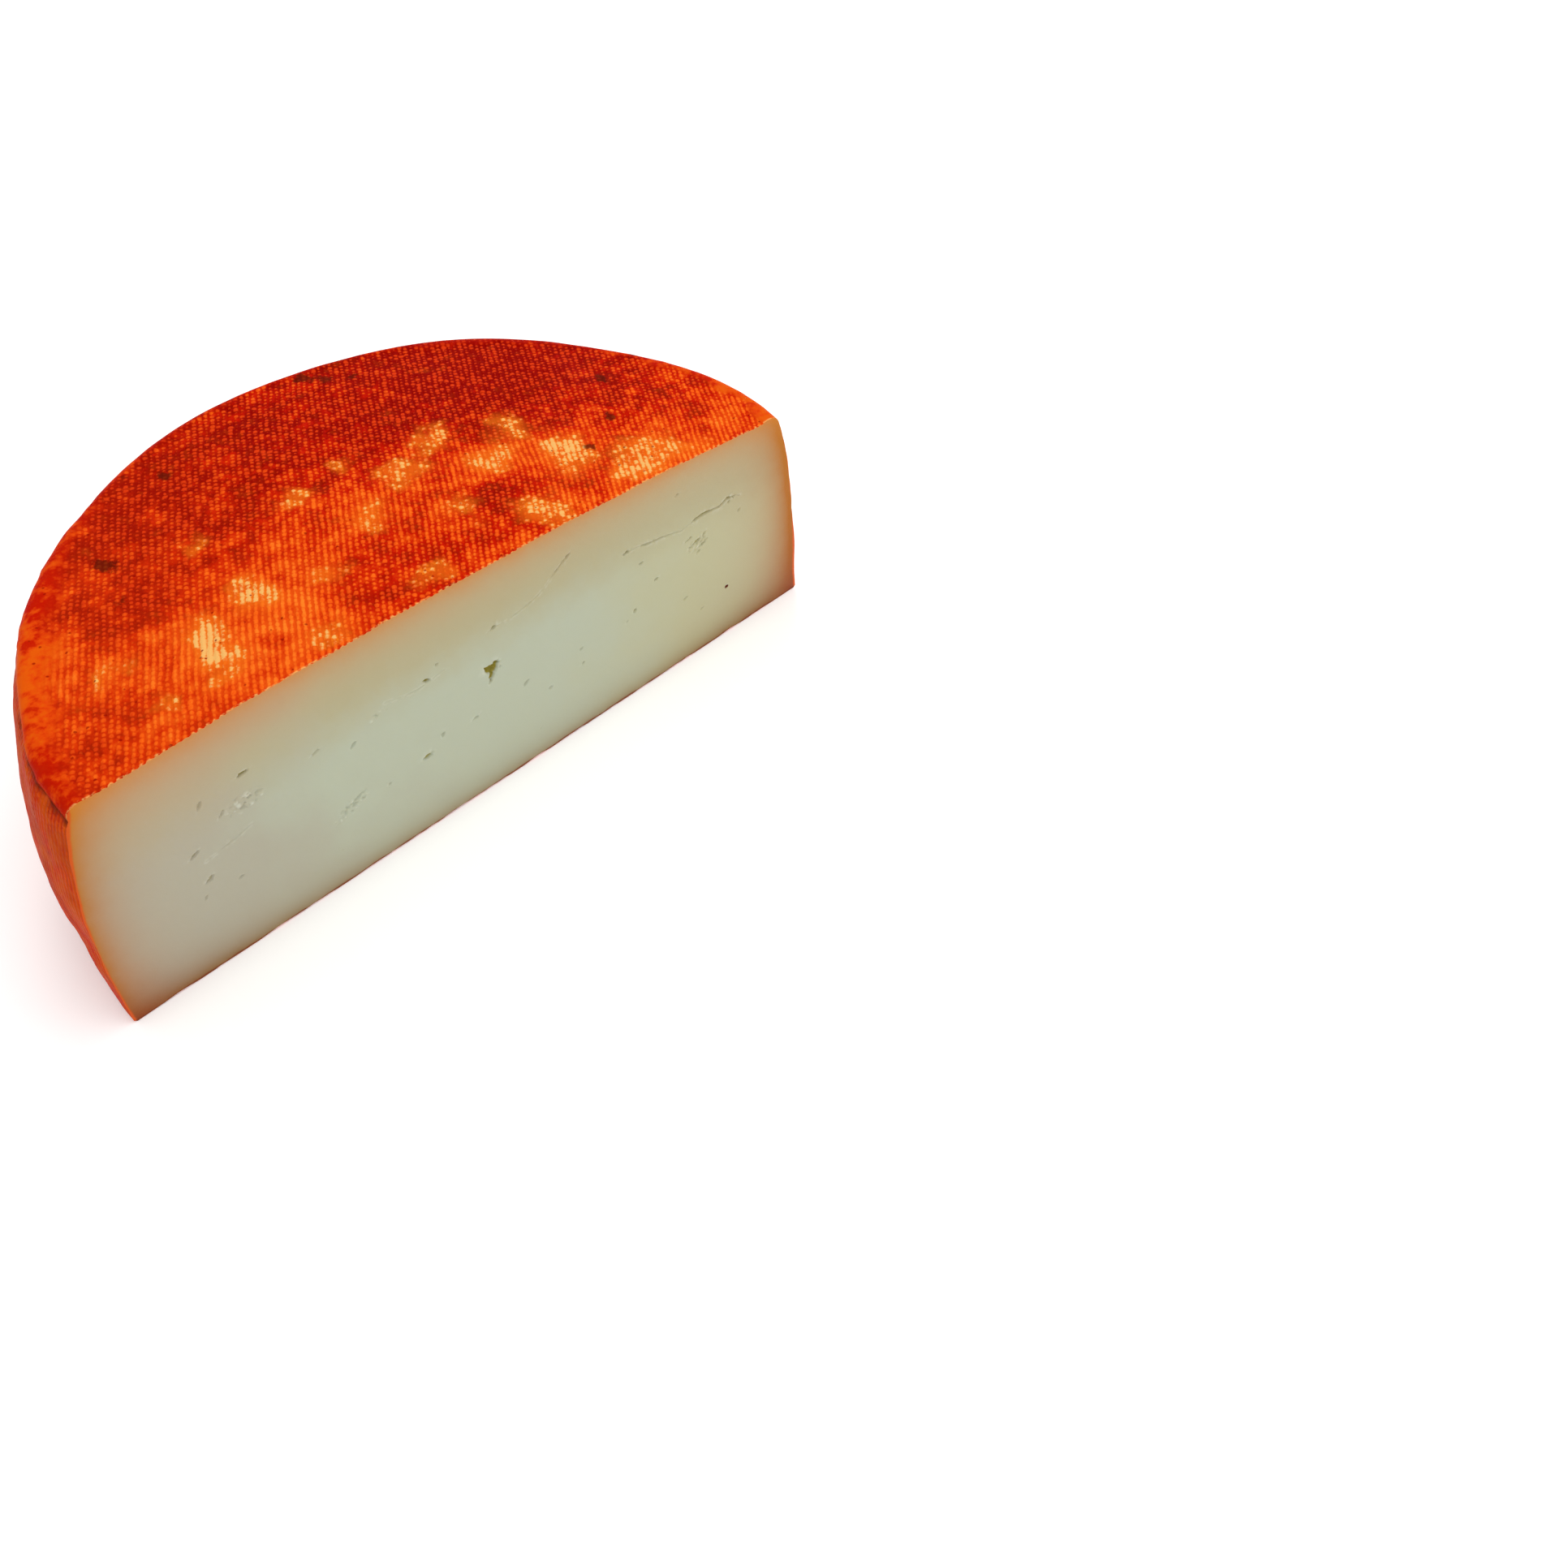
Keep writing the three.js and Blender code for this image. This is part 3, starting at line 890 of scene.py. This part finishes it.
class Finish:
    """A new material with one Principled shader, and short names for the nodes that feed it."""

    def __init__(self, name):
        self.material = bpy.data.materials.new(name)
        self.material.use_nodes = True
        self.tree = self.material.node_tree
        self.shader = self.tree.nodes["Principled BSDF"]
        self.place = add_node(self.tree, "ShaderNodeTexCoord", output="Object")

    def number(self, name):
        """A number kept on the surface."""
        return add_node(self.tree, "ShaderNodeAttribute", {"attribute_name": name}, output="Fac")

    def axis(self, letter):
        """The place along one axis, in millimetres."""
        return add_node(self.tree, "ShaderNodeSeparateXYZ", None, {0: self.place}, letter) * (1 / MM)

    def noise(self, size, detail=2.0, roughness=0.5, stretch=(1, 1, 1)):
        """Cloudy noise from 0 to 1 with features about size millimetres across."""
        place = add_node(self.tree, "ShaderNodeMapping", None, {"Vector": self.place, "Scale": stretch})
        values = {"Vector": place, "Scale": 1 / (size * MM), "Detail": detail, "Roughness": roughness}
        return add_node(self.tree, "ShaderNodeTexNoise", None, values, "Fac")

    def spots(self, size, radius, share):
        """1 inside round spots and 0 outside: cells size millimetres across, a share of which hold a
        spot."""
        values = {"Vector": self.place, "Scale": 1 / (size * MM)}
        far = add_node(self.tree, "ShaderNodeTexVoronoi", None, values, "Distance")
        tone = add_node(self.tree, "ShaderNodeTexVoronoi", None, values, "Color")
        pick = add_node(self.tree, "ShaderNodeSeparateColor", None, {0: tone}, 0)
        outside = self.rise(far, radius / size * 0.5, radius / size)
        return (1 - outside) * self.rise(pick, 1 - share, 1.001 - share)

    def rise(self, value, low, high):
        """0 below low, 1 above high, and a smooth S between."""
        settings = {"interpolation_type": "SMOOTHSTEP"}
        values = {"Value": value, "From Min": low, "From Max": high, "To Min": 0.0, "To Max": 1.0}
        return add_node(self.tree, "ShaderNodeMapRange", settings, values)

    def mix(self, share, first, second):
        """Two colours mixed: all first at share 0, all second at share 1."""
        first, second = (end if isinstance(end, Shade) else (*end, 1) for end in (first, second))
        values = {MIX_SHARE: share, MIX_FIRST: first, MIX_SECOND: second}
        return add_node(self.tree, "ShaderNodeMix", {"data_type": "RGBA"}, values, MIX_RESULT)

    def wave(self, turns):
        """1 at whole turns, 0 half way between, and a cosine from one to the other."""
        return (turns * (2 * math.pi)).cosine() * 0.5 + 0.5

    def chance(self, first, second):
        """A random number from 0 to 1 for each pair of whole numbers."""
        pair = add_node(self.tree, "ShaderNodeCombineXYZ", None, {0: first, 1: second})
        return add_node(self.tree, "ShaderNodeTexWhiteNoise", None, {"Vector": pair}, "Value")

    def ramp(self, value, stops):
        """A colour that changes with a number, through stops of (number, colour)."""
        return add_node(self.tree, "ShaderNodeValToRGB", {"stops": stops}, {0: value})

    def bump(self, height, strength, distance, normal=None):
        """Fine relief: a height from 0 to 1 that stands for a distance in millimetres."""
        values = {"Height": height, "Strength": strength, "Distance": distance * MM}
        if normal is not None:
            values["Normal"] = normal
        return add_node(self.tree, "ShaderNodeBump", None, values)

    def feed(self, **sockets):
        """Sets or links the shader's sockets, whose names are given with _ for a space."""
        for name, value in sockets.items():
            socket = self.shader.inputs[name.replace("_", " ")]
            if isinstance(value, Shade):
                self.tree.links.new(value.socket, socket)
            else:
                socket.default_value = value


def shades_of(scene):
    """The user's colours as plain tuples."""
    colours = scene.cheese_colours
    return SimpleNamespace(**{k: tuple(getattr(colours, k)) for k in CheeseColours.__annotations__})


def woven_height(f, m):
    """The print as a height for the underside, which is too large to model thread by thread."""
    x, y = f.axis("X"), f.axis("Y")
    c, s = math.cos(m.rib_angle), math.sin(m.rib_angle)
    turn = 2 * math.pi / m.pitch
    wander = f.noise(26, 1.0) * 2.4
    across = ((x * s - y * c + wander) * turn).cosine()
    along = ((x * c + y * s + wander) * turn).cosine()
    return (across * 0.5 + 0.5) * (along * 0.2 + 0.8)


RIND_SHINE, RIND_SHINE_TINT = 0.004, (1, 0.6, 0.3, 1)
PASTE_SHINE, PASTE_SHINE_TINT = 0.16, (1, 0.9, 0.7, 1)


def rind_finish(scene, m):
    """The rubbed rind. On the top the cloth's threads stand out as light beads between darker grooves,
    lighter partly where the rub gathers less on them and partly as a painted highlight on their tops,
    and both change from cloud to cloud with the thickness of the red rub, which has worn away to bare
    tan rind in places. The shoulder is smooth orange and the side a duller terracotta."""
    c, f = shades_of(scene), Finish("rubbed_rind")
    rub, worn = f.number("rub"), f.number("worn")
    side, shoulder, under = f.number("side"), f.number("shoulder"), f.number("under")
    patches, mottle = f.noise(9, 3), f.noise(3.2, 3, 0.6)
    grain, dust = f.noise(1.0, 2, 0.6), f.noise(0.45, 1)
    woven = woven_height(f, m)
    printed = f.number("print") * (1 - under) + woven * under

    # Each bead by its rib's number and its own, with a shade that chance gives it.
    rib, row = f.number("rib"), f.number("row")
    rib_number = (rib + 0.5).floor()
    along = row + rib_number * 0.5
    chance = f.chance(rib_number, (along + 0.5).floor())
    across = f.wave(rib) ** 0.7
    thick = f.rise(rub, 0.3, 0.85)
    crossed = 1 - (0.3 + (mottle - 0.5) * 1.1 + thick * 0.6) * (1 - f.wave(along) ** 0.6)
    strands = f.noise(1.6, 2, 0.6) - 0.5
    uneven = (chance - 0.5) * (thick * 0.4 + 0.4) + (grain - 0.5) * 1.3
    uneven = uneven + strands * 1.1 + (dust - 0.5) * 0.4
    bead = across * crossed + uneven
    # Bead tops lighter than the grooves: partly the rub gathered in the grooves, partly a painted highlight
    # that stands in for the beads' glints.
    bead_top_and_highlight = f.rise(bead, 0.3, 0.98) * ((1 - shoulder) * (1 - side) * (1 - under))

    # The top, whose print is fainter towards the left and whose bead tops carry a painted highlight, and the
    # underside.
    clouds = (patches - 0.5) * 1.25 + (mottle - 0.5) * 1.35
    density = rub + clouds + (grain - 0.5) * 0.4
    low = f.ramp(density, ((0.2, c.groove), (0.55, c.dark), (0.95, c.darkest)))
    high = f.ramp(density, ((0.1, c.bead_light), (0.5, c.bead), (0.95, c.bead_dark)))
    faint = f.rise(f.axis("X") * -1 + strands * 60, -10, 85)
    tone = f.mix(bead_top_and_highlight * (1 - faint * 0.3) + faint * 0.2, low, high)
    below = f.ramp(density + (0.4 - printed) * 0.9, ((0.0, c.bead), (0.5, c.groove), (0.95, c.darkest)))
    tone = f.mix(under, tone, below)

    # The shoulder.
    smooth_tone = f.ramp(rub + clouds * 1.1, ((0.4, c.rim), (0.62, c.groove), (0.82, c.dark)))
    tone = f.mix(shoulder * 0.9, tone, smooth_tone)

    # The side: red streaks, orange flecks, dark blotches, and pale beads where a trace of the print shows.
    streaks = f.noise(5, 4, 0.65, (1, 1, 0.35))
    streaked = f.rise(streaks * 0.9 + clouds * 0.35 + rub * 0.25, 0.42, 0.8)
    side_tone = f.mix(streaked, c.side, c.dark)
    flecked = f.rise(mottle + (grain - 0.5) * 0.6 - streaks * 0.3, 0.42, 0.62)
    side_tone = f.mix(flecked * 0.4, side_tone, c.rim)
    blotches = f.rise(f.noise(13, 3, 0.6) + (mottle - 0.5) * 0.5, 0.42, 0.66)
    side_tone = f.mix(blotches * 0.4, side_tone, c.side_dark)
    pale = f.rise(bead + (patches - 0.5) * 1.2, 0.45, 1.0) * f.rise(mottle + patches, 0.85, 1.25)
    side_tone = f.mix(pale * 0.4, side_tone, c.bead)
    tone = f.mix(side * 0.94, tone, side_tone)

    # Worn places: tan beads and gold grooves, with thin rub fading out round them.
    broken = (mottle - 0.5) * 1.9 + (chance - 0.5) * 0.9 + (grain - 0.5) * 1.5
    bare = f.rise(worn + broken, 0.28, 0.84) * f.rise(worn, 0.12, 0.4)
    tan = f.mix(f.rise(bead + (worn - 0.7) * 0.8, 0.25, 0.95), c.gold, c.tan)
    tone = f.mix(bare, tone, tan)
    tone = f.mix(f.rise(worn + clouds * 0.4, 0.02, 0.6) * 0.58 * (1 - bare), tone, c.gold)

    # The pale line that the knife left along the top's edge.
    from_knife = f.axis("Y") - LOW.y / MM
    burr = (1 - f.rise(from_knife, 0.15, 0.7)) * f.rise(grain + printed * 0.25, 0.55, 0.75)
    tone = f.mix(burr * (1 - side) * (1 - under) * 0.7, tone, c.tan)

    # Pits, brown stains and the crease under the rim, darkened partly by rub gathered in it and partly as
    # painted shade.
    pits = (f.spots(3.4, 0.5, 0.42) * 0.75).larger(f.spots(2.3, 0.42, 0.55) * bare * 0.85)
    tone = f.mix(pits, tone, c.darkest)
    stain = f.rise(f.number("stain") + (grain - 0.5) * 0.9 + (mottle - 0.5) * 0.5, 0.28, 0.75)
    tone = f.mix(stain * 0.85, tone, c.stain)
    crease_dye_and_shade = f.rise(f.number("crease") + (mottle - 0.5) * 0.9, 0.35, 0.85)
    tone = f.mix(crease_dye_and_shade * 0.95, tone, c.crease)

    oily = f.noise(14, 2)
    fine = f.bump(dust * 0.6 + grain * 0.4, 0.5, 0.25)
    print_here = woven * under + (f.noise(2.4, 3) * 0.6 + across * crossed * 0.28) * side
    bumps = f.bump(print_here, 0.9, 0.5, fine)
    f.feed(
        Base_Color=tone, Roughness=0.56 - oily * 0.3 + (grain - 0.5) * 0.3, Normal=bumps,
        Specular_IOR_Level=RIND_SHINE, Specular_Tint=RIND_SHINE_TINT,
    )
    return f.material


def paste_finish(scene):
    """The cut paste: cool and pale in the middle, warmer outwards, tinted by the rub near the rind,
    brownish along the base, partly as painted shade, with a thin rind line at its ends and its foot,
    paler torn paste that carries a painted highlight, olive hollows darkened with depth as painted
    shade, small dark specks and a satin grain."""
    c, f = shades_of(scene), Finish("cut_paste")
    to_end, to_top, opening = f.number("to_end"), f.number("to_top"), f.number("opening")
    x, to_base = f.axis("X"), f.axis("Z")
    slow, mottle, grain = f.noise(30, 2), f.noise(6, 3), f.noise(0.5, 2)
    sway, stray = (slow - 0.5) * 110, (mottle - 0.5) * 30

    # Broad tones.
    left, right = f.rise(stray * 0.6 - sway * 0.8 - x, 22, 92), f.rise(sway * 0.5 + x, 20, 76)
    tone = f.mix(left, f.mix(right, c.paste, c.paste_right), c.paste_left)
    warm = (1 - f.rise(to_top + stray * 0.3, 13, 33)) * (1 - left * 0.5)
    tone = f.mix(warm, tone, c.paste_warm)

    # Tints that die away from the ends, the top, the foot and the lower corners. The foot's brown is partly
    # the rub's tint and partly painted shade along the base.
    end = (to_end + stray * 0.07) * (right * 0.03 - 0.16)
    tone = f.mix(end.exponent() * (right * 0.3 + 1.04), tone, c.paste_end)
    glow = (to_top + stray * 0.1) * (left * 0.07 - 0.18)
    tone = f.mix(glow.exponent() * 0.8, tone, c.paste_glow)
    # Browner towards the base: partly the rub's tint, partly painted shade.
    foot = (to_base + stray * 0.05) * -0.2
    ends = 1 - f.rise(to_end, 10, 70)
    tone = f.mix(foot.exponent() * (ends * 0.3 + 0.75), tone, c.paste_foot_tint_and_shade)
    corner = (to_end + stray * 0.1) * -0.07 - to_base * (0.1 - right * 0.05)
    tone = f.mix(corner.exponent() * 1.1, tone, c.paste_corner)

    # The rind's lines, paler torn paste with a painted highlight, the openings darkened with depth as painted
    # shade, and specks.
    tone = f.mix(1 - f.rise(to_end + stray * 0.02, 0.4, 1.0), tone, c.rind_line)
    tone = f.mix((1 - f.rise(to_base + stray * 0.04, 0.4, 0.9)) * 0.9, tone, c.foot_line)
    # Paler torn paste, partly a painted highlight on the raised lips.
    tone = f.mix(f.number("torn") * 0.5, tone, c.torn)
    # The openings' olive lining, darker with depth as painted shade.
    tone = f.mix(f.rise(opening, 0.25, 0.65), tone, c.hollow_lining_and_shade)
    tone = f.mix(f.rise(f.number("speck"), 0.3, 0.8), tone, c.crease)
    tone = f.mix(f.spots(9, 0.28, 0.1) * 0.8, tone, c.stain)

    fine = f.bump(grain, 0.35, 0.12)
    drag = f.noise(2.2, 3, 0.6, (0.12, 1, 1))
    bumps = f.bump(drag * 0.5 + f.noise(7, 2) * 0.5, 0.35, 0.25, fine)
    f.feed(
        Base_Color=tone, Roughness=0.42 + (mottle - 0.5) * 0.3, Normal=bumps,
        Subsurface_Weight=0.25, Subsurface_Scale=0.0015, Subsurface_Radius=(1.0, 0.7, 0.4),
        Specular_IOR_Level=PASTE_SHINE, Specular_Tint=PASTE_SHINE_TINT,
    )
    return f.material



# --------------------------------------------------------------------------------------------------
# The studio. The camera stands in front of the cut, to its left, and looks down past the half.

CAMERA_PLACE = (-1.2346, -2.1255, 2.8582)  # from the foot of the axis on the cut, in rim radii
CAMERA_TURN = math.radians(49.39)  # how far the view is turned from square to the cut
CAMERA_DOWN = 0.8948  # radians below the horizon
CAMERA_ROLL = 0.0784  # radians
SENSOR, LENS = 36.0, 31.22609  # millimetres
SHIFT_X, SHIFT_Y = -0.0163, 0.0134
NEAR_CLIP, FAR_CLIP = 0.01, 20
FLOOR_REACH = 9  # metres from its middle to its edges
FLOOR_DROP = -0.0002  # metres from the base to the floor, so that the two faces don't share a plane

# The lamps: (name, place, width and depth, tint), in metres.
OVERHEAD_LAMP = ("overhead_lamp", (0.25, -0.45, 1.3), (1.1, 1.1), (1, 0.985, 0.96))
BACK_LAMP = ("back_lamp", (0.75, 0.95, 0.95), (0.8, 0.5), (1, 0.98, 0.95))
LAMP_TARGET, LAMP_UP = (0, 0, 0.03), (0, 1, 0.1)


def look(place, towards, up):
    """A matrix that stands at place and looks towards a point."""
    back = (Vector(place) - Vector(towards)).normalized()
    right = Vector(up).cross(back).normalized()
    turned_up = back.cross(right)
    return Matrix.Translation(place) @ Matrix((right, turned_up, back)).transposed().to_4x4()


def add_camera(scene, m):
    """The camera, from its place, turn, tilt and roll."""
    foot = Vector((LOW.x + HIGH.x, LOW.y * 2, LOW.z * 2)) / 2
    place = foot + Vector(CAMERA_PLACE) * m.rim_radius * MM
    turn, down = CAMERA_TURN, CAMERA_DOWN
    back = Vector((-math.sin(turn) * math.cos(down), -math.cos(turn) * math.cos(down), math.sin(down)))
    level = Vector((math.cos(turn), -math.sin(turn), 0))
    upright = back.cross(level)
    right = math.cos(CAMERA_ROLL) * level + math.sin(CAMERA_ROLL) * upright
    up = math.cos(CAMERA_ROLL) * upright - math.sin(CAMERA_ROLL) * level
    data = bpy.data.cameras.new("camera")
    data.sensor_width, data.lens = SENSOR, LENS
    data.shift_x, data.shift_y = SHIFT_X, SHIFT_Y
    data.clip_start, data.clip_end = NEAR_CLIP, FAR_CLIP
    camera = bpy.data.objects.new("camera", data)
    camera.matrix_world = Matrix.Translation(place) @ Matrix((right, up, back)).transposed().to_4x4()
    scene.collection.objects.link(camera)
    scene.camera = camera


def add_lamp(scene, power, name, place, size, tint):
    """A rectangular lamp that shines at the half."""
    data = bpy.data.lights.new(name, "AREA")
    data.shape, data.size, data.size_y = "RECTANGLE", *size
    data.energy, data.color = power, tint
    lamp = bpy.data.objects.new(name, data)
    lamp.matrix_world = look(place, LAMP_TARGET, LAMP_UP)
    scene.collection.objects.link(lamp)


def add_floor(scene, tone):
    """The white floor, which gives off a little light of its own."""
    sides = ((-1, -1), (1, -1), (1, 1), (-1, 1))
    corners = [(x * FLOOR_REACH, y * FLOOR_REACH, FLOOR_DROP) for x, y in sides]
    mesh = bpy.data.meshes.new("floor")
    mesh.from_pydata(corners, [], [(0, 1, 2, 3)])
    floor = bpy.data.objects.new("floor", mesh)
    scene.collection.objects.link(floor)
    white = Finish("floor")
    white.feed(
        Base_Color=(*tone, 1), Roughness=0.9, Specular_IOR_Level=0.1, Emission_Color=(*tone, 1),
        Emission_Strength=0.1,
    )
    mesh.materials.append(white.material)


def add_even_light(scene, strength):
    """White light from all round."""
    world = bpy.data.worlds.new("even_light")
    world.use_nodes = True
    background = world.node_tree.nodes["Background"]
    background.inputs["Color"].default_value = (1, 1, 1, 1)
    background.inputs["Strength"].default_value = strength
    scene.world = world


class CHEESE_OT_studio(bpy.types.Operator):
    """Make the camera, the white floor, the lamps and the even light all round"""

    bl_idname = "cheese.studio"
    bl_label = "Studio"

    def execute(self, context):
        scene, studio = context.scene, context.scene.cheese_studio
        add_camera(scene, measures(scene))
        add_floor(scene, studio.floor)
        add_even_light(scene, studio.sky)
        add_lamp(scene, studio.key, *OVERHEAD_LAMP)
        add_lamp(scene, studio.back, *BACK_LAMP)
        scene.view_settings.view_transform = "Standard"
        return {"FINISHED"}


class CHEESE_OT_half_wheel(bpy.types.Operator):
    """Make the half wheel, with the finishes of its rind and its paste"""

    bl_idname = "cheese.half_wheel"
    bl_label = "Half wheel"

    def execute(self, context):
        scene = context.scene
        m = measures(scene)
        mesh = half_wheel_mesh(m)
        mesh.materials.append(rind_finish(scene, m))
        mesh.materials.append(paste_finish(scene))
        piece = bpy.data.objects.new("half_cheese_wheel", mesh)
        scene.collection.objects.link(piece)
        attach(piece, "root")
        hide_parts(NODE)
        return {"FINISHED"}


class CHEESE_PT_panel(bpy.types.Panel):
    """Lists what makes the half wheel and its studio"""

    bl_label = "Half cheese wheel"
    bl_space_type = "VIEW_3D"
    bl_region_type = "UI"
    bl_category = "Cheese"

    def draw(self, context):
        layout = self.layout
        layout.operator(CHEESE_OT_studio.bl_idname)
        layout.operator(CHEESE_OT_half_wheel.bl_idname)
        for name in GROUPS:
            box = layout.box()
            group = getattr(context.scene, name)
            for key in type(group).__annotations__:
                box.prop(group, key)


GROUPS = {
    "cheese_sizes": WheelSizes,
    "cheese_cloth": ClothPrint,
    "cheese_colours": CheeseColours,
    "cheese_studio": Studio,
}
CLASSES = (*GROUPS.values(), CHEESE_OT_studio, CHEESE_OT_half_wheel, CHEESE_PT_panel)


def register():
    for made in CLASSES:
        bpy.utils.register_class(made)
    for name, group in GROUPS.items():
        setattr(bpy.types.Scene, name, PointerProperty(type=group))


def unregister():
    for name in GROUPS:
        delattr(bpy.types.Scene, name)
    for made in reversed(CLASSES):
        bpy.utils.unregister_class(made)


def main():
    """Make everything."""
    register()
    bpy.ops.cheese.studio()
    bpy.ops.cheese.half_wheel()


if __name__ == "__main__":
    main()
